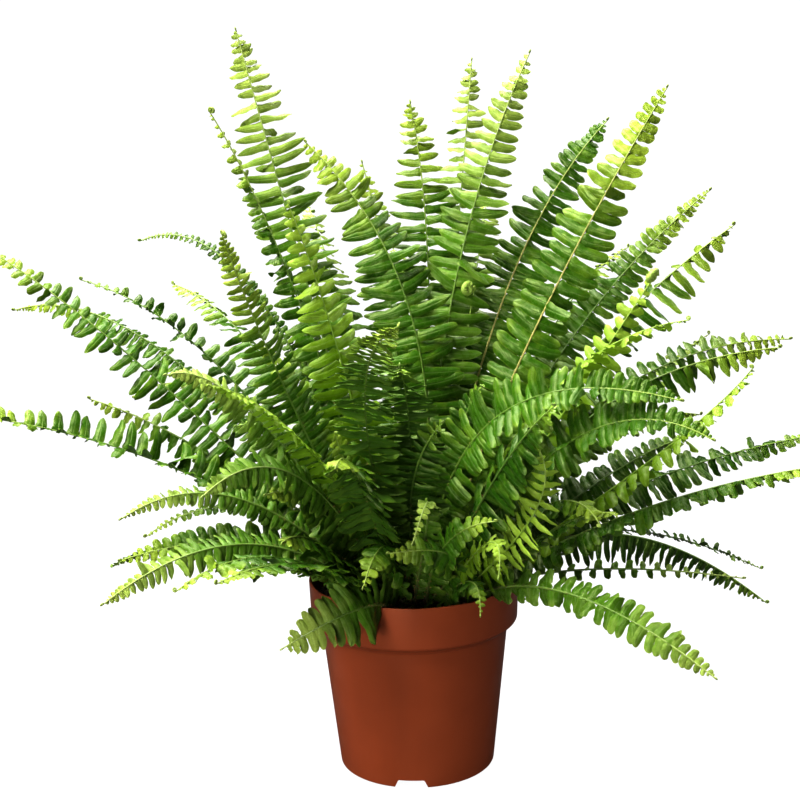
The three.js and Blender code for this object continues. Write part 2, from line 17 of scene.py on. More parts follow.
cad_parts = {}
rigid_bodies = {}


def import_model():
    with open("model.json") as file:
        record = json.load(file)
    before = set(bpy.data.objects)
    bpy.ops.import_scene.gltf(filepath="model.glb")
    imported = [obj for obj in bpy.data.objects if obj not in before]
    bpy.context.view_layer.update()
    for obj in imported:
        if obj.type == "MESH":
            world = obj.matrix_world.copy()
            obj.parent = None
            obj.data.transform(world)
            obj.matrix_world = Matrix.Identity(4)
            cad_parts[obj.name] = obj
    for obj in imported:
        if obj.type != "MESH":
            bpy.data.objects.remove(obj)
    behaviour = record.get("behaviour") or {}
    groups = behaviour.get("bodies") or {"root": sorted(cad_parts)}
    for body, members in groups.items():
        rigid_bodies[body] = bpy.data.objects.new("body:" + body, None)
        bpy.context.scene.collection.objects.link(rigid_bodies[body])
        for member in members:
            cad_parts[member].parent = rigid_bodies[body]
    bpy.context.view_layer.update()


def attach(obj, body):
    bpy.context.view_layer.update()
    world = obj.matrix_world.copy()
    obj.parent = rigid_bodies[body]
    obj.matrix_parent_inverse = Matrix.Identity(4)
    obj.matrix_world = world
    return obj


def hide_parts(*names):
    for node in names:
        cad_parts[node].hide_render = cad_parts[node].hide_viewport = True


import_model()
scene = bpy.context.scene

MM = 0.001
BODY = "root"
SEED = 7

# ---- Pot, as in the solids ----
POT_HEIGHT = 128 * MM
RIM_RADIUS = 70 * MM
RIM_BAND = 27 * MM
RIM_DRAFT = 1 * MM
NECK_RADIUS = 62.2 * MM
NECK_DROP = 8 * MM
FOOT_RADIUS = 52 * MM
WALL = 1.5 * MM
FOOT_WIDTH = 2.6 * MM
FOOT_HEIGHT = 7 * MM
FLOOR = 1.5 * MM
NOTCHES = 3
NOTCH_WIDTH = 22 * MM
NOTCH_TOP = 17 * MM  # width at the notch's upper edge
NOTCH_HEIGHT = 5.5 * MM
NOTCH_TURN = radians(-95)
DRAINS = 6
DRAIN_RADIUS = 4 * MM
DRAIN_CIRCLE = 34 * MM
POT_STEPS = 192
CORNER_STEPS = 5
DRAIN_STEPS = 24
POT_CREASE = radians(38)

# ---- Soil, as in the solids ----
GAP = 0.3 * MM
SOIL_EDGE = 113 * MM
SOIL_RISE = 4 * MM
HOLE_DEPTH = 8 * MM
SOIL_RADIUS = RIM_RADIUS - RIM_DRAFT - WALL - GAP
SOIL_ROUGHNESS = 1.6 * MM
SOIL_STEPS = 200
SOIL_RINGS = 64
CRUMBS = 1500
GRAINS = 60
LUMP_RISE = 0.3  # of a lump's size that its middle stands over the surface
FIBRES = 150
FIBRE_STEPS = 9
FIBRE_SIDES = 5
MOSS_TUFTS = 26
MOSS_SPROUTS = 46  # in each tuft
MOSS_SIDES = 4

# ---- Fronds, as in the solids ----
STEM_WIDTH = 2.4 * MM
TIP_WIDTH = 0.8 * MM
STEM_ABOVE = 1.5 * MM
BARE_SHARE = 0.07
SWEEP_LOW = radians(-8)
SWEEP_HIGH = radians(6)
DROOP = radians(12)
LOWEST_PAIR = 0.7
WIDEST = 0.3
FULLNESS = 1.25
TAPER = 0.55
HEART_RADIUS = 8 * MM
CROWN_RADIUS = 44 * MM
ROOT_SPACING = 7.5 * MM
ROOT_ROUNDS = 200
LIFT = 0.8
COIL_RADIUS = 5 * MM
COIL_TURNS = 1.35
COIL_STEPS = 26
BUD_RADIUS = 1.3  # mm, where a row names none
SCALES = 90  # on each stem
WILD_CHANCE = 0.1  # of a leaflet that is out of line
WILDNESS = 2.4  # times the usual spread
LEAF_CREASE = radians(70)
FROND_SPREAD = 8  # degrees that the droop varies by from frond to frond
DROOP_SPREAD = 10  # and from leaflet to leaflet
SWEEP_SPREAD = 4.5
EAR = 0.3  # how much wider the base is on its forward side
TROUGH = 0.3
RIPPLE = 0.2
SCALE_WIDTH = 0.48 * MM
SCALE_THICK = 0.12 * MM
STEM_SIDES = 8
RIB, SCALE = 1, 2  # a frond's material slots after that of its leaflets

# Leaflets by kind of frond: spacing along the rib, width as a share of it, how blunt the tip is (0 pointed
# to 1 round) low on the frond and at its end, roll about the leaflet's own length in degrees, and droop.
KINDS = {
    "broad": dict(pitch=8.2 * MM, width=0.96, blunt=(0.95, 0.6), roll=15, curl=0.14),
    "round": dict(pitch=9.2 * MM, width=1.0, blunt=(1.0, 0.95), roll=15, curl=0.12),
    "plain": dict(pitch=7.8 * MM, width=0.86, blunt=(0.85, 0.35), roll=24, curl=0.22),
    "spaced": dict(pitch=9.4 * MM, width=0.8, blunt=(0.9, 0.5), roll=26, curl=0.24),
    "dense": dict(pitch=6.1 * MM, width=1.12, blunt=(1.0, 0.8), roll=13, curl=0.14),
    "comb": dict(pitch=5.8 * MM, width=0.76, blunt=(0.85, 0.5), roll=18, curl=0.14),
    "fine": dict(pitch=4.7 * MM, width=1.0, blunt=(0.8, 0.5), roll=14, curl=0.16),
    "sprout": dict(pitch=7.4 * MM, width=0.66, blunt=(0.15, 0.0), roll=14, curl=0.1),
}


def row(name, mid, tip, half, tone, **more):
    """A frond: the middle of its rib, its tip and half width in mm, the tone of its green, and options.

    `tuft` is the root that it shares, `look` the compass angle that its upper side faces, if not inward.
    `lift`, `droop` and `full` replace LIFT, DROOP (in degrees) and FULLNESS, `kind` picks from KINDS and
    `bud` is the radius of its curled bud. `youth` over 1 brings the lime further down, under 1 less far.
    """
    return name, mid, tip, half, tone, more


FRONDS = [
    row("tall_far_left", (-65, 35, 315), (-110, 60, 490), 29, "fresh", look=-100, full=1.7),
    row("edge_left", (-70, -5, 315), (-120, -15, 435), 14, "mid", look=-50, kind="spaced", bud=2.2),
    row("broad_mid_left", (5, 15, 290), (-65, 40, 415), 28, "mid", look=-90, full=1.4, kind="broad"),
    row("behind_mid_left", (-10, 75, 285), (-30, 110, 400), 23, "mid", look=-90),
    row("yellow_left", (-40, -35, 270), (-70, -60, 380), 24, "young", look=-70, kind="spaced"),
    row("lean_front_left", (-75, -60, 265), (-105, -100, 365), 19, "mid", look=-80, full=1.3, kind="comb",
        youth=1.1, bud=2.6),
    row("thin_back_left", (-100, 50, 310), (-185, 80, 350), 6, "deep", look=-90, full=1.7),
    row("reach_left_high", (-170, 0, 270), (-285, 10, 360), 20, "mid", look=-50),
    row("reach_left_back", (-170, 75, 270), (-285, 110, 300), 12, "mid", look=-50, full=1.6),
    row("sweep_left_back", (-125, 45, 260), (-225, 65, 325), 16, "deep", look=-50, lift=2, droop=-40,
        kind="spaced"),
    row("reach_left_low", (-140, -40, 210), (-285, -70, 260), 20, "mid", look=-60, lift=2, droop=-40,
        kind="spaced"),
    row("second_left_low", (-125, 25, 200), (-220, 45, 245), 18, "mid", look=-50),
    row("peek_left", (-125, 80, 230), (-205, 130, 230), 9, "fresh", tuft="peek_left"),
    row("arch_left", (-90, -75, 250), (-140, -110, 285), 15, "fresh", look=-60, full=1.6, kind="fine"),
    row("young_left", (-60, -90, 235), (-115, -140, 285), 14, "young", kind="fine"),
    row("mid_left_dark", (-70, -20, 215), (-110, -40, 240), 18, "deep", look=-60, kind="dense",
        tuft="second_left_low"),
    row("inner_left_high", (-70, -30, 255), (-95, -40, 290), 17, "mid", look=-60, kind="dense",
        tuft="arch_left"),
    row("comb_left", (-105, -50, 195), (-175, -90, 195), 10, "fresh", look=-60, full=1.5, tuft="low_left"),
    row("thin_left_low", (-100, -20, 180), (-170, -40, 170), 8, "mid", look=-60, lift=2, tuft="low_left"),
    row("arch_left_front", (-65, -100, 220), (-115, -160, 225), 15, "fresh", look=-60, full=1.6,
        kind="fine", youth=0.8),
    row("droop_left", (-100, -80, 175), (-180, -130, 155), 14, "fresh", look=-80, full=1.5, kind="fine",
        tuft="droop_left"),
    row("droop_left_upper", (-90, -45, 165), (-180, -75, 165), 15, "mid", look=-70, kind="dense",
        tuft="droop_left"),
    row("droop_left_front", (-80, -110, 175), (-130, -170, 175), 17, "mid", kind="dense"),
    row("droop_left_near", (-60, -110, 170), (-105, -190, 185), 15, "mid", kind="dense"),
    row("over_rim_left", (-35, -90, 135), (-80, -100, 115), 22, "fresh", look=-90, lift=0.35, droop=0,
        full=1.2, kind="dense", youth=1.15),
    row("front_centre", (-25, -125, 260), (-5, -225, 325), 18, "mid", droop=-5, full=1.5, kind="fine"),
    row("front_centre_right", (0, -70, 235), (-5, -130, 290), 24, "deep", droop=0, kind="fine"),
    row("front_low_left", (-30, -110, 220), (-40, -185, 245), 22, "mid", kind="dense"),
    row("broad_dark_right", (50, -90, 215), (80, -150, 270), 24, "deep", look=-120, kind="broad"),
    row("small_light_centre", (10, -95, 200), (0, -120, 185), 9, "fresh", look=-90),
    row("small_yellow_right", (45, -90, 175), (50, -110, 160), 10, "young", look=-90, youth=1.3,
        tuft="small_front"),
    row("small_at_rim", (35, -70, 145), (40, -90, 130), 10, "mid", look=-90, tuft="small_front"),
    row("low_front_right", (25, -70, 160), (-15, -90, 170), 14, "mid", look=-90, full=1.6, kind="dense"),
    row("front_low_right", (20, -75, 170), (50, -95, 190), 14, "mid", look=-90, kind="dense",
        tuft="low_front_right"),
    row("inner_front_dark", (0, -60, 200), (20, -90, 250), 21, "deep", look=-80, droop=0, kind="comb",
        tuft="front_centre_right"),
    row("inner_front_left", (-35, -65, 205), (-45, -90, 245), 18, "mid", look=-70, kind="dense",
        tuft="front_low_left"),
    row("low_left_inner", (-55, -80, 195), (-85, -120, 215), 16, "mid", look=-70, kind="dense",
        tuft="droop_left_front"),
    row("low_left_near", (-55, -85, 175), (-75, -135, 190), 16, "mid", kind="dense", tuft="droop_left_near"),
    row("front_drop", (-15, -75, 170), (-30, -110, 155), 15, "mid", look=-90, kind="dense",
        tuft="small_light_centre"),
    row("inner_right_dark", (30, -35, 225), (45, -60, 265), 19, "deep", look=-100, kind="dense",
        tuft="arch_right_high"),
    row("crozier_centre", (30, 30, 230), (45, 35, 315), 0, "young"),
    row("tall_right", (30, 30, 310), (85, 50, 470), 26, "fresh", look=-90, full=1.4, kind="broad"),
    row("tall_right_back", (30, 80, 295), (50, 125, 470), 23, "fresh", look=-90, full=1.6),
    row("tall_centre", (15, 50, 305), (5, 65, 440), 25, "mid", look=-90, full=1.6),
    row("broad_right", (65, 50, 305), (140, 75, 425), 23, "mid", look=-90, full=1.6, kind="dense",
        youth=0.6, tan=True),
    row("broad_right_front", (75, 20, 270), (175, 45, 445), 23, "mid", look=-90, full=1.5, kind="round",
        youth=1.1, tan=True),
    row("reach_right_high", (105, 60, 265), (215, 95, 375), 16, "mid", look=-100, full=1.5, kind="dense"),
    row("spaced_right", (105, 10, 255), (215, 20, 355), 24, "mid", look=-90, lift=2.5, droop=45, full=1.9,
        kind="spaced"),
    row("curl_right", (95, -35, 240), (150, -55, 330), 15, "young", look=-90, full=1.7, kind="spaced",
        curled=True),
    row("yellow_right", (80, -65, 255), (160, -110, 310), 15, "young", full=1.6, kind="spaced"),
    row("reach_right", (130, 20, 240), (260, 45, 275), 17, "mid", look=-110, full=1.7),
    row("reach_right_second", (115, -15, 235), (235, -25, 280), 18, "mid", look=-90, lift=2, droop=40,
        full=1.9),
    row("reach_right_third", (140, 65, 220), (220, 115, 270), 15, "fresh", full=1.6),
    row("young_right", (145, -60, 215), (200, -100, 280), 16, "young", full=1.6, kind="spaced"),
    row("arch_right", (95, -85, 235), (170, -135, 245), 21, "mid", look=-110, droop=-20, kind="dense",
        youth=0.8),
    row("arch_right_high", (50, -65, 245), (155, -120, 265), 21, "mid", look=-100, droop=-20, kind="dense",
        youth=0.8),
    row("long_right", (145, 30, 175), (285, 60, 205), 18, "deep", look=-110, lift=1.5, kind="dense"),
    row("long_right_front", (140, -60, 185), (260, -90, 220), 16, "mid", kind="dense"),
    row("dark_right", (130, 40, 145), (250, 70, 105), 12, "deep", droop=-25, kind="comb"),
    row("dark_right_low", (130, -5, 155), (235, -5, 105), 20, "deep", look=-90, lift=2.5, droop=50,
        kind="comb", tuft="low_right"),
    row("thin_right_low", (110, -35, 140), (210, -45, 135), 7, "fresh", look=-90, kind="spaced",
        tuft="low_right"),
    row("droop_right", (90, -95, 145), (170, -150, 110), 12, "fresh", look=-90, lift=0.4, full=2,
        kind="dense", youth=0.9),
    row("young_front_right", (70, -95, 190), (75, -105, 235), 17, "young", look=-90, droop=5, full=1.6,
        kind="sprout", youth=1.7),
    row("small_right", (80, -65, 190), (110, -110, 190), 14, "mid", full=1.6),
    row("mid_right_dark", (125, 0, 190), (190, 20, 215), 18, "deep", look=-100, kind="dense",
        tuft="long_right"),
    row("low_right_inner", (90, -75, 180), (120, -110, 195), 14, "mid", kind="dense",
        tuft="young_front_right"),
    row("back_left_high", (-100, 95, 255), (-180, 175, 310), 22, "mid", tuft="back_left"),
    row("back_left_droop", (-85, 105, 165), (-150, 195, 125), 20, "deep", tuft="back_left"),
    row("back_inner_left_high", (-45, 95, 285), (-75, 175, 370), 24, "fresh", tuft="back_inner_left"),
    row("back_inner_left_low", (-55, 120, 225), (-100, 220, 240), 22, "mid", tuft="back_inner_left"),
    row("back_centre_high", (0, 110, 270), (-10, 210, 330), 24, "mid", tuft="back_centre"),
    row("back_centre_low", (0, 120, 200), (10, 225, 195), 22, "deep", tuft="back_centre"),
    row("back_inner_right_high", (45, 105, 290), (65, 190, 380), 24, "fresh", tuft="back_inner_right"),
    row("back_inner_right_low", (60, 115, 220), (105, 215, 235), 22, "mid", tuft="back_inner_right"),
    row("back_right_high", (95, 95, 265), (170, 175, 330), 22, "mid", tuft="back_right"),
    row("back_right_low", (120, 95, 195), (225, 165, 200), 20, "mid", tuft="back_right"),
    row("back_droop_right", (75, 105, 165), (145, 195, 125), 20, "deep"),
    row("back_droop_centre", (25, 115, 160), (50, 215, 115), 20, "mid", tuft="back_droop_centre"),
    row("back_droop_left", (-35, 115, 165), (-60, 215, 120), 20, "mid", tuft="back_droop_centre"),
    row("left_droop", (-120, 30, 150), (-215, 60, 120), 18, "deep", tuft="peek_left"),
]

# Leaf colours by tone, as linear RGB: the old part, the youngest, and what light shows through. `thin` is
# the share of light that goes through, and `turns` is where along the frond old gives way to young.
TONES = {
    "deep": dict(old=(0.024, 0.088, 0.003), new=(0.270, 0.430, 0.040), through=(0.10, 0.28, 0.004),
        thin=0.12, turns=0.84, gloss=0.6),
    "mid": dict(old=(0.050, 0.152, 0.006), new=(0.360, 0.490, 0.050), through=(0.22, 0.45, 0.008),
        thin=0.16, turns=0.72, gloss=0.6),
    "fresh": dict(old=(0.096, 0.225, 0.014), new=(0.440, 0.560, 0.110), through=(0.38, 0.60, 0.03),
        thin=0.25, turns=0.58, gloss=0.5),
    "young": dict(old=(0.190, 0.350, 0.012), new=(0.430, 0.600, 0.075), through=(0.50, 0.70, 0.02),
        thin=0.34, turns=0.50, gloss=0.5),
}
LEAF_SHINE = (0.90, 1.0, 0.45)
TAN_RIB = (0.50, 0.44, 0.13)
SCALE_BROWN = (0.16, 0.085, 0.03)


def mix(a, b, share):
    return a + (b - a) * share


def unit(v):
    return v / norm(v)


def swing(a, b, angle):
    """Two directions at right angles, a swung by this angle towards b and b with it."""
    return a * cos(angle) + b * sin(angle), b * cos(angle) - a * sin(angle)


# ---- Mesh building ----

def stand(name, data):
    """A new object in the scene for a mesh, a light or a camera."""
    made = bpy.data.objects.new(name, data)
    scene.collection.objects.link(made)
    return made


def mesh_of(name, points, faces):
    mesh = bpy.data.meshes.new(name)
    mesh.from_pydata(points, [], faces)
    return mesh


def circle(radius, steps):
    return [(radius * cos(turn), radius * sin(turn)) for turn in np.linspace(0, tau, steps + 1)[:-1]]


def quads(rings, sides):
    """Faces between rings of points, one ring after another."""
    faces = []
    for j in range(rings - 1):
        for i in range(sides):
            k = (i + 1) % sides
            faces.append((j * sides + i, j * sides + k, (j + 1) * sides + k, (j + 1) * sides + i))
    return faces


class Sheet:
    """Points, faces and the numbers that the materials read, gathered for one mesh."""

    def __init__(self):
        self.points, self.faces, self.slots = [], [], []
        self.leaf = []  # along the leaflet, across it, 1 on the underside
        self.frond = []  # along the frond, random for each leaflet, and its length in metres
        self.first_slot = 0  # what `slot` counts from
        self.count = 0

    def add(self, points, leaf, frond, faces, slot=0):
        self.points.append(np.asarray(points, float))
        self.leaf.append(np.asarray(leaf, float))
        self.frond.append(np.asarray(frond, float))
        self.faces.extend(tuple(i + self.count for i in face) for face in faces)
        self.slots.extend([self.first_slot + slot] * len(faces))
        self.count += len(points)

    def object(self, name, materials):
        mesh = mesh_of(name, np.concatenate(self.points).tolist(), self.faces)
        for material in materials:
            mesh.materials.append(material)
        mesh.polygons.foreach_set("material_index", self.slots)
        for title, rows in (("leaf", self.leaf), ("frond", self.frond)):
            made = mesh.attributes.new(title, "FLOAT_VECTOR", "POINT")
            made.data.foreach_set("vector", np.concatenate(rows).astype(np.float32).ravel())
        mesh.shade_smooth()
        mesh.set_sharp_from_angle(angle=LEAF_CREASE)
        return stand(name, mesh)


def dress(piece, slot, *nodes):
    """The piece moves with the plant and stands for these nodes. `slot` is not used."""
    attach(piece, BODY)
    if nodes:
        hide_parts(*nodes)


# ---- Materials ----

class Nodes:
    """A material's node tree, with short ways to add and link nodes."""

    def __init__(self, name):
        self.material = bpy.data.materials.new(name)
        self.material.use_nodes = True
        self.tree = self.material.node_tree
        self.shader = self.tree.nodes["Principled BSDF"]

    def set(self, socket, value):
        if isinstance(value, bpy.types.NodeSocket):
            self.tree.links.new(value, socket)
        elif isinstance(value, tuple) and len(value) == 3 and socket.type == "RGBA":
            socket.default_value = (*value, 1)
        else:
            socket.default_value = value

    def add(self, kind, output=0, settings=None, **inputs):
        node = self.tree.nodes.new("ShaderNode" + kind)
        for key, value in (settings or {}).items():
            setattr(node, key, value)
        for key, value in inputs.items():
            socket = node.inputs[int(key[1:])] if key[1:].isdigit() else node.inputs[key.replace("_", " ")]
            self.set(socket, value)
        return node.outputs[output]

    def attribute(self, name):
        """The three numbers that a mesh holds under this name at each point."""
        split = self.tree.nodes.new("ShaderNodeSeparateXYZ")
        self.set(split.inputs[0], self.add("Attribute", 1, {"attribute_name": name}))
        return tuple(split.outputs)

    def math(self, operation, a, b=0.0, c=0.0):
        return self.add("Math", settings={"operation": operation}, i0=a, i1=b, i2=c)

    def times(self, a, b, plus=0.0):
        """a times b, with plus added."""
        return self.math("MULTIPLY_ADD", a, b, plus)

    def place(self):
        """The object's own coordinates."""
        return self.add("TexCoord", 3)

    def ramp(self, value, low, high, to_low=0.0, to_high=1.0):
        """value taken from the range low..high to to_low..to_high, eased at both ends."""
        eased = {"interpolation_type": "SMOOTHSTEP"}
        return self.add("MapRange", 0, eased, Value=value, From_Min=low, From_Max=high,
                        To_Min=to_low, To_Max=to_high)

    def blend(self, factor, a, b, how="MIX"):
        settings = {"data_type": "RGBA", "blend_type": how}
        return self.add("Mix", 2, settings, i0=factor, i6=a, i7=b)

    def noise(self, scale, detail=3.0, roughness=0.5, vector=None):
        vector = self.place() if vector is None else vector
        return self.add("TexNoise", Scale=scale, Detail=detail, Roughness=roughness, Vector=vector)

    def bump(self, height, distance, strength=1.0):
        return self.add("Bump", Height=height, Distance=distance, Strength=strength)

    def finish(self, **inputs):
        for key, value in inputs.items():
            self.set(self.shader.inputs[key.replace("_", " ")], value)
        return self.material


VEIN_SPACING = 1.1 * MM


def leaf_material(tone):
    """A leaflet: old green that turns to lime at the frond's tip, veins, a pale margin and a duller back."""
    n = Nodes("leaf_" + tone)
    colours = TONES[tone]
    along_leaflet, across, under = n.attribute("leaf")
    along_frond, chance, length = n.attribute("frond")
    from_midrib = n.math("ABSOLUTE", across)
    luck = n.math("SUBTRACT", chance, 0.5)

    age = n.ramp(along_frond, colours["turns"], 1.0)
    age = n.times(luck, 0.2, age)
    age = n.times(n.ramp(along_leaflet, 0.6, 1.0), 0.2, age)
    age = n.math("ADD", age, n.ramp(n.noise(90.0, 2.0), 0.42, 0.7, -0.1, 0.16))
    age = n.add("Clamp", Value=age)
    colour = n.blend(age, colours["old"], colours["new"])

    # Side veins run out and forward from the midrib, at a spacing in real length.
    reach = n.times(n.times(along_leaflet, length), tau / VEIN_SPACING)
    veins = n.math("SINE", n.times(from_midrib, -9.0, reach))
    mottle = n.noise(700.0)
    midrib = n.ramp(from_midrib, 0.13, 0.02)
    margin = n.ramp(from_midrib, 0.8, 1.0)
    shade = n.times(veins, 0.07, 1.0)
    shade = n.times(n.math("SUBTRACT", mottle, 0.5), 0.35, shade)
    shade = n.times(luck, 0.36, shade)
    # Painted shade: towards the frond's foot, deep in the plant where little light reaches, the leaflets
    # darken to 0.6 of their colour. Part of this is the darker green of older leaflets.
    shade = n.times(shade, n.ramp(along_frond, 0.05, 0.55, 0.6, 1.0))
    colour = n.blend(1.0, colour, n.add("CombineColor", i0=shade, i1=shade, i2=shade), "MULTIPLY")
    pale = tuple(mix(a, 0.7, 0.25) for a in colours["new"])
    colour = n.blend(n.times(midrib, 0.13), colour, pale)
    colour = n.blend(n.times(margin, 0.3), colour, colours["new"])
    below = tuple(mix(a, b, 0.3) for a, b in zip(colours["old"], (0.26, 0.40, 0.10)))
    colour = n.blend(n.times(under, 0.45), colour, below)

    height = n.times(midrib, -1.4, n.times(veins, 0.3, n.times(mottle, 0.6)))
    roughness = n.ramp(n.noise(260.0, 2.0), 0.3, 0.7, 0.22, 0.34)
    roughness = n.times(under, 0.18, roughness)
    normal = n.bump(height, 0.16 * MM, 0.7)
    n.finish(Base_Color=colour, Roughness=roughness, Normal=normal,
             Specular_IOR_Level=colours["gloss"], Specular_Tint=LEAF_SHINE)

    glow = n.blend(age, tuple(0.8 * c for c in colours["through"]), colours["through"])
    through = n.add("BsdfTranslucent", Color=glow)
    both = n.add("MixShader", i0=colours["thin"], i1=n.shader.outputs[0], i2=through)
    n.set(n.tree.nodes["Material Output"].inputs["Surface"], both)
    return n.material


def rib_material(tone, dry):
    """The stem and rib: green, or tan when dry, browner and duller at the foot."""
    n = Nodes("rib_" + tone + ("_tan" if dry else ""))
    along_frond = n.attribute("frond")[0]
    young = tuple(mix(a, 0.5, 0.1) for a in TONES[tone]["new"])
    green = TAN_RIB if dry else tuple(mix(a, b, 0.25) for a, b in zip(TONES[tone]["old"], young))
    colour = n.blend(n.ramp(along_frond, 0.03, 0.4), (0.05, 0.075, 0.015), green)
    colour = n.blend(n.ramp(along_frond, 0.6, 1.0), colour, young)
    flecks = n.ramp(n.noise(900.0, 2.0), 0.56, 0.64)
    fading = n.ramp(along_frond, 0.75, 0.1, 0.1, 0.8)
    colour = n.blend(n.times(flecks, fading), colour, SCALE_BROWN)
    normal = n.bump(n.noise(1400.0, 2.0), 0.15 * MM, 0.6)
    return n.finish(Base_Color=colour, Roughness=n.ramp(flecks, 0.0, 1.0, 0.42, 0.7), Normal=normal)


def scale_material():
    """Papery brown scales on the stems."""
    n = Nodes("stem_scales")
    colour = n.blend(n.noise(700.0, 1.0), SCALE_BROWN, (0.42, 0.27, 0.10))
    normal = n.bump(n.noise(2500.0, 1.0), 0.05 * MM, 0.6)
    return n.finish(Base_Color=colour, Roughness=0.75, Normal=normal)


def pot_material():
    """Satin moulded plastic, with faint draw marks down the wall, scuffs and a fine grain."""
    n = Nodes("pot_plastic")
    drawn = n.add("Mapping", Vector=n.place(), Scale=(60.0, 60.0, 2.0))
    streaks = n.noise(1.0, vector=drawn)
    base = n.blend(n.ramp(n.noise(16.0), 0.3, 0.7), (0.300, 0.064, 0.021), (0.345, 0.075, 0.025))
    colour = n.blend(n.ramp(streaks, 0.45, 0.75, 0.0, 0.35), base, (0.350, 0.072, 0.022))
    scuffs = n.ramp(n.noise(240.0, 6.0, 0.7), 0.63, 0.72, 0.0, 0.3)
    colour = n.blend(scuffs, colour, (0.380, 0.105, 0.045))
    height = n.times(streaks, 0.6, n.times(n.noise(1800.0, 2.0), 0.25))
    roughness = n.ramp(n.noise(40.0, 4.0), 0.3, 0.7, 0.34, 0.46)
    normal = n.bump(height, 0.12 * MM, 0.5)
    return n.finish(Base_Color=colour, Roughness=roughness, Normal=normal,
                    Specular_IOR_Level=0.25, Specular_Tint=(1.0, 0.80, 0.65))


def soil_material():
    """Damp peat with lighter bark and mineral grains."""
    n = Nodes("soil_peat")
    lumps = n.noise(120.0, 5.0, 0.65)
    colour = n.blend(n.ramp(lumps, 0.3, 0.7), (0.010, 0.0055, 0.003), (0.060, 0.032, 0.016))
    bark = n.ramp(n.noise(330.0), 0.6, 0.68)
    colour = n.blend(n.times(bark, 0.8), colour, (0.150, 0.075, 0.034))
    grains = n.ramp(n.noise(900.0, 1.0), 0.69, 0.74)
    colour = n.blend(grains, colour, (0.330, 0.260, 0.170))
    height = n.times(n.noise(700.0, 4.0), 0.5, lumps)
    return n.finish(Base_Color=colour, Roughness=0.92, Normal=n.bump(height, 1.0 * MM, 0.9))


def plain_material(name, low, high, scale, roughness):
    """Two close colours in soft patches over a fine grain."""
    n = Nodes(name)
    colour = n.blend(n.ramp(n.noise(scale, 4.0), 0.35, 0.65), low, high)
    normal = n.bump(n.noise(6 * scale), 0.1 * MM, 0.6)
    return n.finish(Base_Color=colour, Roughness=roughness, Normal=normal)


# ---- Pot ----

def fillet(before, at, after, radius):
    """Points that round the corner at `at` of an outline."""
    before, at, after = (Vector(p) for p in (before, at, after))
    back = (before - at).normalized()
    on = (after - at).normalized()
    half = back.angle(on) / 2
    length = min(radius / tan(half), 0.48 * (before - at).length, 0.48 * (after - at).length)
    start = at + back * length
    end = at + on * length
    shares = [i / CORNER_STEPS for i in range(CORNER_STEPS + 1)]
    return [tuple(start * (1 - t) ** 2 + at * 2 * t * (1 - t) + end * t ** 2) for t in shares]


def rounded(outline):
    """An open outline of (radius, height, corner radius) as plain points."""
    points = [outline[0][:2]]
    for before, at, after in zip(outline, outline[1:], outline[2:]):
        points += fillet(before[:2], at[:2], after[:2], at[2]) if at[2] else [at[:2]]
    points.append(outline[-1][:2])
    return points


def lathe(name, points, steps):
    """A closed body turned from points that start and end on the axis."""
    turns = np.arange(steps) * tau / steps
    rows = [np.stack([r * np.cos(turns), r * np.sin(turns), np.full(steps, z)], 1) for r, z in points[1:-1]]
    places = np.concatenate([*rows, [[0, 0, points[0][1]], [0, 0, points[-1][1]]]])
    first, last = len(places) - 2, len(places) - 1
    faces = quads(len(rows), steps)
    top = (len(rows) - 1) * steps
    for i in range(steps):
        k = (i + 1) % steps
        faces.append((first, k, i))
        faces.append((top + i, top + k, last))
    return mesh_of(name, places.tolist(), faces)


def prism(outline, depth):
    """A closed block: an outline in the Y-Z plane, from -depth to depth along X."""
    count = len(outline)
    places = [(x, y, z) for x in (-depth, depth) for y, z in outline]
    faces = [tuple(reversed(range(count))), tuple(range(count, 2 * count)), *quads(2, count)]
    return mesh_of("cutter", places, faces)


def cut(body, cutters):
    """body's mesh with every cutter mesh, given with its place, taken out of it."""
    group = bpy.data.collections.new("cutters")
    scene.collection.children.link(group)
    for mesh, place in cutters:
        tool = bpy.data.objects.new("cutter", mesh)
        tool.matrix_world = place
        group.objects.link(tool)
    block = stand("block", body)
    modifier = block.modifiers.new("cut", "BOOLEAN")
    modifier.operation = "DIFFERENCE"
    modifier.solver = "EXACT"
    modifier.operand_type = "COLLECTION"
    modifier.collection = group
    bpy.context.view_layer.update()
    made = bpy.data.meshes.new_from_object(block.evaluated_get(bpy.context.evaluated_depsgraph_get()))
    for tool in list(group.objects):
        bpy.data.objects.remove(tool)
    bpy.data.collections.remove(group)
    bpy.data.objects.remove(block)
    return made


def notch_outline():
    """The gap in the foot: wider below, with round upper corners."""
    wide, narrow = NOTCH_WIDTH / 2, NOTCH_TOP / 2
    right = [(wide, -NOTCH_HEIGHT, 0), (wide, 0, 0), (narrow, NOTCH_HEIGHT, 1.5 * MM)]
    return rounded([*right, *((-x, z, corner) for x, z, corner in reversed(right))])


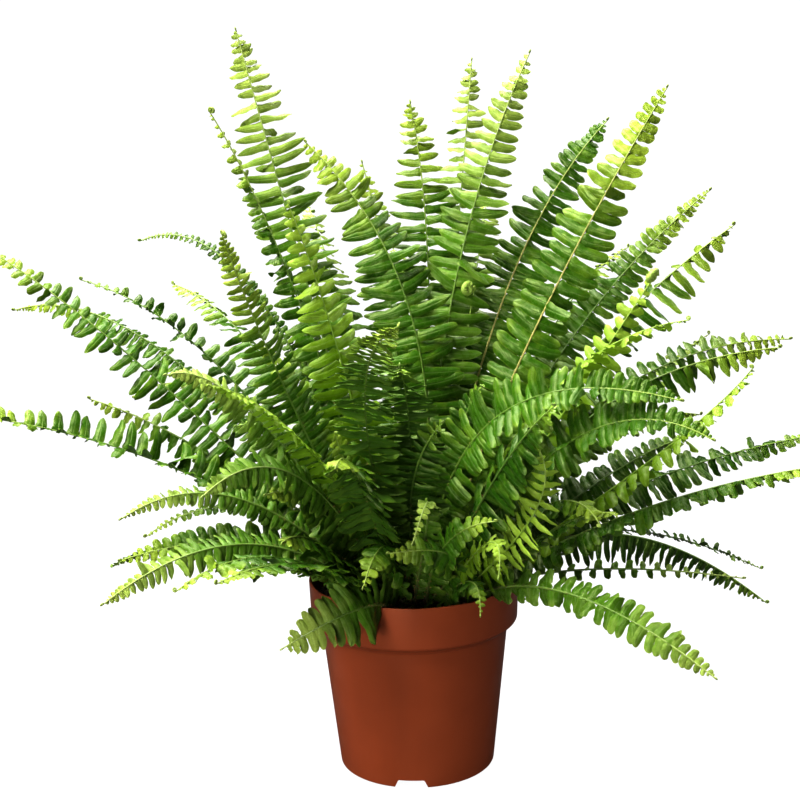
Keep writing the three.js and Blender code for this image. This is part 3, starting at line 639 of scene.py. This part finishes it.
def make_pot():
    band = POT_HEIGHT - RIM_BAND
    neck = band - NECK_DROP
    band_foot = RIM_RADIUS - RIM_DRAFT
    foot_in = FOOT_RADIUS - FOOT_WIDTH
    lip = 0.6 * MM
    outline = rounded([
        (0, FOOT_HEIGHT, 0),
        (foot_in, FOOT_HEIGHT, 1.5 * MM),
        (foot_in - 0.2 * MM, 0, 0.5 * MM),
        (FOOT_RADIUS, 0, 1.2 * MM),
        (FOOT_RADIUS + 1.1 * MM, 10 * MM, 6 * MM),
        (NECK_RADIUS, neck + 1 * MM, 3 * MM),
        (NECK_RADIUS + 0.6 * MM, neck + 3.5 * MM, 2.5 * MM),
        (band_foot, band - 1 * MM, 3 * MM),
        (RIM_RADIUS, POT_HEIGHT - 0.2 * MM, lip),
        (RIM_RADIUS - WALL, POT_HEIGHT, lip),
        (band_foot - WALL, band, 3 * MM),
        (NECK_RADIUS - WALL, neck, 3 * MM),
        (FOOT_RADIUS - WALL, FOOT_HEIGHT + FLOOR, 2 * MM),
        (0, FOOT_HEIGHT + FLOOR, 0),
    ])
    cutters = []
    for i in range(NOTCHES):
        turn = Matrix.Rotation(NOTCH_TURN + i * tau / NOTCHES, 4, "Z")
        place = turn @ Matrix.Translation((FOOT_RADIUS, 0, 0))
        cutters.append((prism(notch_outline(), 2 * FOOT_WIDTH), place))
    drain = circle(DRAIN_RADIUS, DRAIN_STEPS)
    for i in range(DRAINS):
        turn = Matrix.Rotation(i * tau / DRAINS, 4, "Z")
        place = turn @ Matrix.Translation((DRAIN_CIRCLE, 0, FOOT_HEIGHT))
        cutters.append((prism(drain, 3 * FLOOR), place @ Matrix.Rotation(pi / 2, 4, "Y")))
    mesh = cut(lathe("pot_wall", outline, POT_STEPS), cutters)
    mesh.materials.clear()
    mesh.materials.append(pot_material())
    mesh.shade_smooth()
    mesh.set_sharp_from_angle(angle=POT_CREASE)
    dress(stand("nursery_pot", mesh), "pot", "pot")


# ---- Soil ----

def soil_height(radius):
    return SOIL_EDGE + SOIL_RISE * (1 - (radius / SOIL_RADIUS) ** 2)


def soil_surface(x, y):
    """Height of the rough surface at a place."""
    near_wall = max(0.0, min(1.0, (SOIL_RADIUS - hypot(x, y)) / (4 * MM)))
    lumps = noise.fractal(Vector((x, y, 0)) * 110, 0.9, 2.2, 5)
    clods = noise.noise(Vector((x, y, 3)) * 45)
    return soil_height(hypot(x, y)) + SOIL_ROUGHNESS * (lumps + 0.7 * clods) * mix(0.35, 1, near_wall)


def make_soil():
    below = [
        (FOOT_RADIUS - WALL - GAP, FOOT_HEIGHT + FLOOR + GAP),
        (NECK_RADIUS - WALL - GAP, POT_HEIGHT - RIM_BAND - NECK_DROP + GAP),
        (SOIL_RADIUS, POT_HEIGHT - RIM_BAND + GAP),
        (SOIL_RADIUS, SOIL_EDGE - 3 * MM),
    ]
    top = [(SOIL_RADIUS * (1 - i / SOIL_RINGS), 0) for i in range(SOIL_RINGS + 1)]
    mesh = lathe("soil_body", [(0, below[0][1]), *below, *top], SOIL_STEPS)
    for vertex in mesh.vertices[len(below) * SOIL_STEPS:]:
        if vertex.index != len(mesh.vertices) - 2:
            vertex.co.z = soil_surface(vertex.co.x, vertex.co.y)
    mesh.materials.append(soil_material())
    mesh.shade_smooth()
    dress(stand("potting_soil", mesh), "soil", "soil")


def soil_spot(draw, margin, inner=0.0):
    """A random place on the soil, this far from the wall or more."""
    radius = (SOIL_RADIUS - margin) * sqrt(draw.uniform(inner, 1))
    turn = draw.uniform(0, tau)
    return radius * cos(turn), radius * sin(turn)


# A lump with twelve corners, for crumbs of soil, bark and grit.
GOLDEN = (1 + sqrt(5)) / 2
PAIRS = [(x, y * GOLDEN) for x in (-1, 1) for y in (-1, 1)]
LUMP_POINTS = np.array([(x, y, 0) for x, y in PAIRS] + [(0, x, y) for x, y in PAIRS]
                       + [(y, 0, x) for x, y in PAIRS]) / 1.9


def lump_faces():
    """The twenty triangles between corners that are one edge apart, all facing out."""
    faces = []
    edge = min(norm(LUMP_POINTS[0] - p) for p in LUMP_POINTS[1:]) * 1.01
    for i, j, k in combinations(range(12), 3):
        a, b, c = LUMP_POINTS[[i, j, k]]
        if max(norm(a - b), norm(b - c), norm(c - a)) > edge:
            continue
        out = np.dot(np.cross(b - a, c - a), a + b + c) > 0
        faces.append((i, j, k) if out else (i, k, j))
    return faces


def scatter_lumps(name, count, sizes, material, draw):
    """Small lumps half sunk in the soil's surface."""
    sheet = Sheet()
    faces = lump_faces()
    blank = np.zeros((12, 3))
    for _ in range(count):
        x, y = soil_spot(draw, 2 * MM)
        size = mix(*sizes, draw.random() ** 2)
        heading = Matrix.Rotation(draw.uniform(0, tau), 3, "Z")
        turned = heading @ Matrix.Rotation(draw.uniform(-0.6, 0.6), 3, "X")
        scaled = LUMP_POINTS * size * (1, mix(1, 0.5, draw.random()), 0.6)
        rough = scaled * np.array([[draw.uniform(0.7, 1.2)] for _ in LUMP_POINTS])
        points = rough @ np.array(turned).T + (x, y, soil_surface(x, y) + size * LUMP_RISE)
        sheet.add(points, blank, blank, faces)
    dress(sheet.object(name, [material]), "soil")


def tube(sheet, path, radii, sides, along=0.0, slot=0, squash=1.0, ups=None, chance=0.5):
    """A closed tube along a path, with a radius at each point."""
    path = np.asarray(path, float)
    tangents = np.gradient(path, axis=0)
    tangents /= norm(tangents, axis=1)[:, None]
    up = np.array((0.3, 0.2, 1.0))
    points = []
    for i, (place, tangent) in enumerate(zip(path, tangents)):
        if ups is not None:
            up = ups[i]
        flat = up - tangent * up.dot(tangent)
        if norm(flat) < 1e-6:
            flat = np.cross(tangent, (1.0, 0.0, 0.0))
        normal = up = unit(flat)
        side = np.cross(normal, tangent)
        for k in range(sides):
            turn = tau * k / sides
            points.append(place + radii[i] * (side * cos(turn) + squash * normal * sin(turn)))
    count = len(path)
    faces = [(a, d, c, b) for a, b, c, d in quads(count, sides)]
    faces.append(tuple(range(sides)))
    faces.append(tuple((count - 1) * sides + k for k in reversed(range(sides))))
    steps = np.repeat(np.broadcast_to(along, count), sides)
    frond = np.stack([steps, np.full(len(steps), chance), np.ones(len(steps))], 1)
    sheet.add(points, np.zeros((len(steps), 3)), frond, faces, slot)


def make_fibres(draw):
    """Thin dry roots and old runners that lie on the soil and stand a little off it."""
    sheet = Sheet()
    steps = FIBRE_STEPS
    for _ in range(FIBRES):
        x, y = soil_spot(draw, 3 * MM, 0.15)
        radius = hypot(x, y)
        heading = draw.uniform(0, tau)
        length = draw.uniform(8, 26) * MM
        rise = draw.uniform(0.3, 3.5) * MM
        thick = draw.uniform(0.12, 0.3) * MM
        bend = draw.uniform(-2.2, 2.2)
        path = []
        for i in range(steps):
            t = i / (steps - 1)
            path.append((x, y, soil_surface(x, y) + rise * sin(pi * t) + thick))
            heading += bend / steps
            ahead = (x + length / steps * cos(heading), y + length / steps * sin(heading))
            if hypot(*ahead) > SOIL_RADIUS - 1 * MM:
                heading += pi / 2
                ahead = (x - length / steps * x / radius, y - length / steps * y / radius)
            x, y = ahead
        tube(sheet, path, [thick * (1 - 0.5 * i / steps) for i in range(steps)], FIBRE_SIDES)
    fibre = plain_material("root_fibre", (0.22, 0.13, 0.055), (0.52, 0.40, 0.22), 300.0, 0.8)
    dress(sheet.object("root_fibres", [fibre]), "soil")


def make_moss(draw):
    """Cushions of moss and small green sprouts between the stems."""
    sheet = Sheet()
    for _ in range(MOSS_TUFTS):
        middle_x, middle_y = soil_spot(draw, 4 * MM, 0.2)
        for _ in range(MOSS_SPROUTS):
            x, y = middle_x + draw.gauss(0, 3 * MM), middle_y + draw.gauss(0, 3 * MM)
            if hypot(x, y) > SOIL_RADIUS - 1.5 * MM:
                continue
            height = draw.uniform(1.2, 3.4) * MM
            lean = (draw.gauss(0, 0.5), draw.gauss(0, 0.5))
            base = np.array((x, y, soil_surface(x, y) - 0.5 * MM))
            path = [base + height * t * np.array((lean[0] * t, lean[1] * t, 1)) for t in (0, 0.35, 0.7, 1)]
            width = draw.uniform(0.25, 0.5) * MM
            tube(sheet, path, [0.6 * width, width, 0.8 * width, 0.15 * width], MOSS_SIDES)
    moss = plain_material("moss", (0.035, 0.09, 0.012), (0.16, 0.30, 0.04), 500.0, 0.85)
    dress(sheet.object("moss", [moss]), "leaf_mid")


# ---- Where the fronds root, as in the solids ----

def place_roots(rows):
    roots = {}
    for name, mid, *_, more in rows:
        key = more.get("tuft", name)
        side = np.array(mid[:2], float) * MM
        lean = atan2(norm(side), mid[2] * MM - SOIL_EDGE)
        root = unit(side) * mix(HEART_RADIUS, CROWN_RADIUS, lean * 2 / pi)
        roots[key] = (roots[key] + root) / 2 if key in roots else root
    places = list(roots.values())
    for _ in range(ROOT_ROUNDS):
        for a in places:
            for b in places:
                apart = b - a
                distance = norm(apart)
                if a is b or distance >= ROOT_SPACING:
                    continue
                push = apart / distance * (ROOT_SPACING - distance) / 4
                a -= push
                b += push
            if norm(a) > CROWN_RADIUS:
                a *= CROWN_RADIUS / norm(a)
    return roots


# ---- A frond ----

RIB_SAMPLES = 240


class Rib:
    """The curve of a frond's rib, by share of its length, with its upper side and sideways there."""

    def __init__(self, name, mid, tip, half, tone, more, root):
        self.name, self.tone, self.more = name, tone, more
        self.half = half * MM
        ground = soil_height(norm(root))
        start = np.array((*root, ground + STEM_ABOVE))
        mid, tip = np.array((mid, tip)) * MM
        self.control = start, 2 * mid - (start + tip) / 2, tip
        outward = atan2(mid[1] - root[1], mid[0] - root[0])
        look = radians(self.more["look"]) if "look" in self.more else outward + pi
        self.face = np.array((cos(look), sin(look), self.more.get("lift", LIFT)))
        self.foot = np.array((*root, ground - HOLE_DEPTH + GAP))
        places = self.at(np.linspace(0, 1, RIB_SAMPLES)[:, None])
        steps = norm(np.diff(places, axis=0), axis=1)
        self.lengths = np.concatenate([[0], np.cumsum(steps)])
        self.length = self.lengths[-1]

    def at(self, t):
        a, b, c = self.control
        return a * (1 - t) ** 2 + b * 2 * t * (1 - t) + c * t ** 2

    def station(self, share):
        """Place, direction, upper side and sideways at this share of the length."""
        t = np.interp(share * self.length, self.lengths, np.linspace(0, 1, RIB_SAMPLES))
        a, b, c = self.control
        along = unit((b - a) * (1 - t) + (c - b) * t)
        normal = unit(self.face - along * self.face.dot(along))
        return self.at(t), along, normal, np.cross(normal, along)


def leaflet_length(u, full):
    """Share of the half width at u along the leafy stretch, 0 to 1: widest at WIDEST, short at the tip."""
    if u < WIDEST:
        return mix(LOWEST_PAIR, 1, u / WIDEST)
    past = (u - WIDEST) / (1 - WIDEST)
    return min(1, full * max(0.01, 1 - past) ** TAPER)


# The grid of a leaflet, by shares of its length and of its half width.
ROWS = np.array((0.0, 0.05, 0.13, 0.25, 0.39, 0.53, 0.66, 0.78, 0.88, 0.95, 0.985))
COLUMNS = np.array((-1, -0.52, 0, 0.52, 1))
LEAFLET_THICK = 0.35 * MM


def leaflet_outline(t, blunt):
    """Share of the full half width at t along a leaflet: nearly parallel sides that close to a tip."""
    shoulder = mix(0.22, 0.8, blunt)
    closing = np.clip((t - shoulder) / (1 - shoulder), 0, 1)
    foot = mix(0.6, 1, np.clip(t / 0.05, 0, 1))
    return foot * mix(1.04, 0.92, t) * (1 - closing ** 2) ** mix(0.85, 0.5, blunt)


def leaflet_faces():
    """Faces of a leaflet: an upper and a lower sheet that share their outline and their base."""
    wide, tall = len(COLUMNS), len(ROWS)
    tip = wide * tall
    above = {(j, i): j * wide + i for j in range(tall) for i in range(wide)}
    inner = [(j, i) for j, i in above if j and 0 < i < wide - 1]
    below = above | {place: tip + 1 + k for k, place in enumerate(inner)}
    faces = []
    for j in range(tall - 1):
        for i in range(wide - 1):
            corners = [(j, i), (j + 1, i), (j + 1, i + 1), (j, i + 1)]
            faces.append(tuple(above[corner] for corner in reversed(corners)))
            faces.append(tuple(below[corner] for corner in corners))
    for i in range(wide - 1):
        left, right = (tall - 1, i), (tall - 1, i + 1)
        faces.append((above[left], above[right], tip))
        faces.append((tip, below[right], below[left]))
    return faces


LEAFLET_FACES = leaflet_faces()
LEAFLET_FACES_LEFT = [tuple(reversed(face)) for face in LEAFLET_FACES]


def hits_pot(point):
    """Whether a point is under the soil or in the pot's wall."""
    radius = hypot(point[0], point[1])
    if radius > RIM_RADIUS + 1 * MM or point[2] > POT_HEIGHT + 1 * MM:
        return False
    return radius > RIM_RADIUS - 4 * MM or point[2] < soil_height(radius) + 2 * MM


def add_leaflet(sheet, rib, share, u, hand, length, kind, droop, roll, draw):
    """One leaflet on side `hand` of the rib at this share of its length."""
    place, along, normal, side = rib.station(share)
    width = min(kind["pitch"] * kind["width"] * mix(1.08, 0.76, u), 0.62 * length + 0.6 * MM) / 2
    wild = WILDNESS if draw.random() < WILD_CHANCE else 1.0
    sweep = mix(SWEEP_LOW, SWEEP_HIGH, u) + radians(draw.gauss(0, SWEEP_SPREAD * wild))
    droop += radians(draw.gauss(0, DROOP_SPREAD * wild))
    roll = radians(roll + draw.gauss(0, kind["roll"] * 0.5 * wild))
    curl = kind["curl"] * draw.uniform(0.4, 1.6)
    hook = draw.uniform(0.04, 0.2)
    twist = radians(draw.gauss(0, kind["roll"] * wild))
    for lift in (0, 0.5, 1.0):
        out, ahead = swing(hand * side, along, sweep)
        up, out = swing(normal, out, droop - lift)
        if not any(hits_pot(place + out * length * t - up * curl * length * t * t) for t in (0.4, 0.7, 1)):
            break
    else:
        return
    up, ahead = swing(up, ahead, roll)

    blunt = min(1, max(0, mix(*kind["blunt"], u ** 1.6) + draw.gauss(0, 0.12)))
    wave = draw.uniform(0, tau)
    t = ROWS[:, None, None]
    y = COLUMNS[None, :, None]
    half = width * leaflet_outline(t, blunt)
    turn = twist * t
    centre = place + out * (length * t) + ahead * (hook * length * t ** 2) - up * (curl * length * t ** 2)
    across = ahead * np.cos(turn) + up * np.sin(turn)
    over = up * np.cos(turn) - ahead * np.sin(turn)
    ear = 1 + EAR * np.exp(-((t - 0.09) / 0.08) ** 2) * (y > 0)
    trough = TROUGH * half * (abs(y) - 0.5 * y * y)
    ripple = RIPPLE * width * y * y * np.sin(12 * t + wave + 1.3 * (y > 0))
    upper = centre + across * (y * half * ear) + over * (trough + ripple - 0.5 * half * y * y)
    thick = LEAFLET_THICK * np.minimum(1, 3 * half / width)
    lower = (upper - over * thick)[1:, 1:-1]
    tip = place + out * length + ahead * (hook * length) - up * (curl * length)
    points = np.concatenate([upper.reshape(-1, 3), [tip], lower.reshape(-1, 3)])
    grid = np.stack(np.broadcast_arrays(ROWS[:, None], COLUMNS[None, :], 0.0), 2)
    under = grid[1:, 1:-1] + (0, 0, 1)
    leaf = np.concatenate([grid.reshape(-1, 3), [(1, 0, 0)], under.reshape(-1, 3)])
    age = share * rib.more.get("youth", 1)
    frond = np.tile((age, draw.random(), length), (len(points), 1))
    sheet.add(points, leaf, frond, LEAFLET_FACES if hand > 0 else LEAFLET_FACES_LEFT)


def add_leaflets(sheet, rib, draw):
    """Leaflets in offset pairs from just over the soil to the tip."""
    kind = KINDS[rib.more.get("kind", "plain" if rib.half > 13 * MM else "fine")]
    droop = radians(rib.more["droop"]) if "droop" in rib.more else DROOP
    droop += radians(draw.gauss(0, FROND_SPREAD))
    roll = kind["roll"] * draw.uniform(0.2, 0.9)
    full = rib.more.get("full", FULLNESS)
    end = 1 - 2.5 * MM / rib.length
    share = BARE_SHARE
    while share < end:
        u = (share - BARE_SHARE) / (end - BARE_SHARE)
        for hand in (1, -1):
            length = rib.half * leaflet_length(u, full) * draw.uniform(0.9, 1.06)
            shift = (0.25 * hand + draw.uniform(-0.1, 0.1)) * kind["pitch"] / rib.length
            at = min(end, share + shift)
            add_leaflet(sheet, rib, at, u, hand, max(length, 1.5 * MM), kind, droop, roll, draw)
        slow = mix(0.5, 1, min(1, (1 - u) / 0.12))
        share += kind["pitch"] * mix(1.05, 0.9, u) * slow / rib.length


def add_stem(sheet, rib):
    """The stem and rib as one tapering tube, flat along its upper side."""
    shares = np.concatenate([np.linspace(0, BARE_SHARE, 6)[:-1], np.linspace(BARE_SHARE, 1, 40)])
    places, _, normals, _ = zip(*(rib.station(share) for share in shares))
    radii = [mix(STEM_WIDTH, TIP_WIDTH, share ** 0.5) / 2 for share in (0, *shares)]
    tube(sheet, [rib.foot, *places], radii, STEM_SIDES, (0, *shares), RIB, 0.8, [normals[0], *normals])


def add_scales(sheet, rib, draw):
    """Papery scales that stand off the lower stem, with a few further up the rib."""
    blank = np.zeros((9, 3))
    for _ in range(SCALES):
        share = 0.55 * draw.random() ** 2.2
        place, along, normal, side = rib.station(share)
        turn = draw.uniform(0, tau)
        out = side * cos(turn) + normal * sin(turn)
        root = place + out * STEM_WIDTH * 0.42
        length = draw.uniform(0.8, 2.6) * mix(1, 0.5, min(1, 3 * share)) * MM
        aim = unit(out * draw.uniform(0.5, 1.2) + along * draw.uniform(-0.6, 1.2))
        width = unit(np.cross(aim, out)) * SCALE_WIDTH / 2
        thick = unit(np.cross(width, aim)) * SCALE_THICK / 2
        ring = (-width, thick, width, -thick)
        points = [place + corner for place in (root, root + aim * length * 0.45) for corner in ring]
        points.append(root + aim * length)
        faces = [*quads(2, 4), (3, 2, 1, 0), *((k + 4, (k + 1) % 4 + 4, 8) for k in range(4))]
        sheet.add(points, blank, blank + (share, draw.random(), 1), faces, SCALE)


def add_coil(sheet, rib, radius, draw, leafy):
    """The curled bud at the tip, wound in towards the upper side."""
    place, along, normal, side = rib.station(1)
    middle = place + normal * radius
    path, radii, ups = [], [], []
    for i in range(COIL_STEPS + 1):
        t = i / COIL_STEPS
        turn = t * COIL_TURNS * tau
        out = along * sin(turn) - normal * cos(turn)
        path.append(middle + out * radius * mix(1, 0.22, t))
        radii.append(radius * mix(0.30, 0.46, t) if i < COIL_STEPS else radius * 0.3)
        ups.append(-out)
    tube(sheet, path, radii, STEM_SIDES, 1.0, RIB, 1.0, ups, 0.9)
    if not leafy:
        return
    for i in range(2, COIL_STEPS, 2):
        swell = radius * mix(0.20, 0.12, i / COIL_STEPS)
        for hand in (1, -1):
            base = path[i] + hand * side * radii[i] * 0.8
            inner = base + ups[i] * radius * 0.35 + hand * side * radius * 0.1
            middle = (base + inner) / 2 + hand * side * swell * 0.6
            widths = [swell, swell * 0.9, swell * 0.25]
            tube(sheet, [base, middle, inner], widths, 6, 1.0, RIB, 0.7, None, draw.random())


def make_fronds():
    leaves = {tone: leaf_material(tone) for tone in TONES}
    ribs = {(tone, dry): rib_material(tone, dry) for tone in TONES for dry in (False, True)}
    scales = scale_material()
    roots = place_roots(FRONDS)
    tufts = {}
    for one in FRONDS:
        tufts.setdefault(one[5].get("tuft", one[0]), []).append(one)
    for tuft, rows in tufts.items():
        sheet = Sheet()
        materials = []
        for one in rows:
            rib = Rib(*one, roots[tuft])
            draw = random.Random(f"{SEED} {rib.name}")
            sheet.first_slot = len(materials)
            materials += [leaves[rib.tone], ribs[rib.tone, "tan" in rib.more], scales]
            add_stem(sheet, rib)
            if rib.half:
                add_leaflets(sheet, rib, draw)
            add_scales(sheet, rib, draw)
            leafy = not rib.half or "curled" in rib.more
            radius = COIL_RADIUS if leafy else rib.more.get("bud", BUD_RADIUS) * MM
            add_coil(sheet, rib, radius, draw, leafy)
        dress(sheet.object("fern_" + tuft, materials), "leaf_" + rows[0][4], "frond_" + tuft)


# ---- Camera, floor and light ----

# Where the photographer stood, a little above the leaves' middle.
CAMERA_PLACE = Vector((0, -0.916, 0.4155))
LENS = 64.0  # mm, on a sensor 36 mm wide
PITCH = radians(79.6)
YAW = radians(0.387)
ROLL = radians(-1.4)


def make_camera():
    lens = bpy.data.cameras.new("camera")
    lens.lens = LENS
    lens.clip_start = 0.01
    lens.clip_end = 50
    camera = stand("camera", lens)
    turn = Matrix.Rotation(YAW, 4, "Z") @ Matrix.Rotation(PITCH, 4, "X") @ Matrix.Rotation(ROLL, 4, "Z")
    camera.matrix_world = Matrix.Translation(CAMERA_PLACE) @ turn
    scene.camera = camera


FLOOR_RADIUS = 1.5
FLOOR_STEPS = 96


def make_floor():
    """A round white floor that fades into the white room at its edge."""
    points = [(x, y, -0.2 * MM) for x, y in circle(FLOOR_RADIUS, FLOOR_STEPS)]
    mesh = mesh_of("floor", points, [tuple(range(FLOOR_STEPS))])
    n = Nodes("floor_white")
    tone = n.blend(n.noise(3.0, 2.0), (0.93, 0.93, 0.93), (0.95, 0.95, 0.95))
    from_middle = n.add("VectorMath", 1, {"operation": "LENGTH"}, i0=n.place())
    n.finish(Base_Color=tone, Roughness=0.9, Alpha=n.ramp(from_middle, 0.25, 0.95 * FLOOR_RADIUS, 0.08, 0.0))
    mesh.materials.append(n.material)
    stand("floor", mesh)


def add_softbox(name, place, aim, size, power, spread=pi):
    light = bpy.data.lights.new(name, "AREA")
    light.shape = "RECTANGLE"
    light.size, light.size_y = size
    light.energy = power
    light.spread = spread
    box = stand(name, light)
    box.location = place
    box.rotation_euler = (Vector(aim) - Vector(place)).to_track_quat("-Z", "Y").to_euler()


ROOM_LIGHT = 0.025


def make_light():
    """A white room that looks brighter than it lights, three softboxes, and a narrow one on the pot."""
    world = bpy.data.worlds.new("studio")
    world.use_nodes = True
    tree = world.node_tree
    room = tree.nodes["Background"]
    room.inputs["Strength"].default_value = ROOM_LIGHT
    seen = tree.nodes.new("ShaderNodeBackground")
    for shader in (room, seen):
        shader.inputs["Color"].default_value = (1, 1, 1, 1)
    rays = tree.nodes.new("ShaderNodeLightPath")
    either = tree.nodes.new("ShaderNodeMixShader")
    tree.links.new(rays.outputs["Is Camera Ray"], either.inputs[0])
    tree.links.new(room.outputs[0], either.inputs[1])
    tree.links.new(seen.outputs[0], either.inputs[2])
    tree.links.new(either.outputs[0], tree.nodes["World Output"].inputs["Surface"])
    scene.world = world
    middle = (0, 0, 0.25)
    add_softbox("key", (-0.9, -0.8, 1.8), middle, (0.9, 0.9), 66)
    add_softbox("top", (-0.4, 0.7, 1.8), middle, (1.4, 1.2), 62)
    add_softbox("right", (1.3, 0.5, 1.2), middle, (1.0, 1.0), 16)
    add_softbox("front", (-0.5, -1.7, 0.25), (0, 0, 0.05), (0.6, 0.6), 1.1, radians(40))


scene.view_settings.view_transform = "Standard"
scene.view_settings.gamma = 0.82
scene.view_settings.exposure = 0.1
make_camera()
make_floor()
make_light()
make_pot()
make_soil()
draws = random.Random(SEED)
peat = soil_material()
grit = plain_material("perlite", (0.45, 0.40, 0.33), (0.72, 0.68, 0.60), 400.0, 0.9)
scatter_lumps("soil_crumbs", CRUMBS, (0.5 * MM, 2.4 * MM), peat, draws)
scatter_lumps("soil_grit", GRAINS, (0.4 * MM, 1.0 * MM), grit, draws)
make_fibres(draws)
make_moss(draws)
make_fronds()
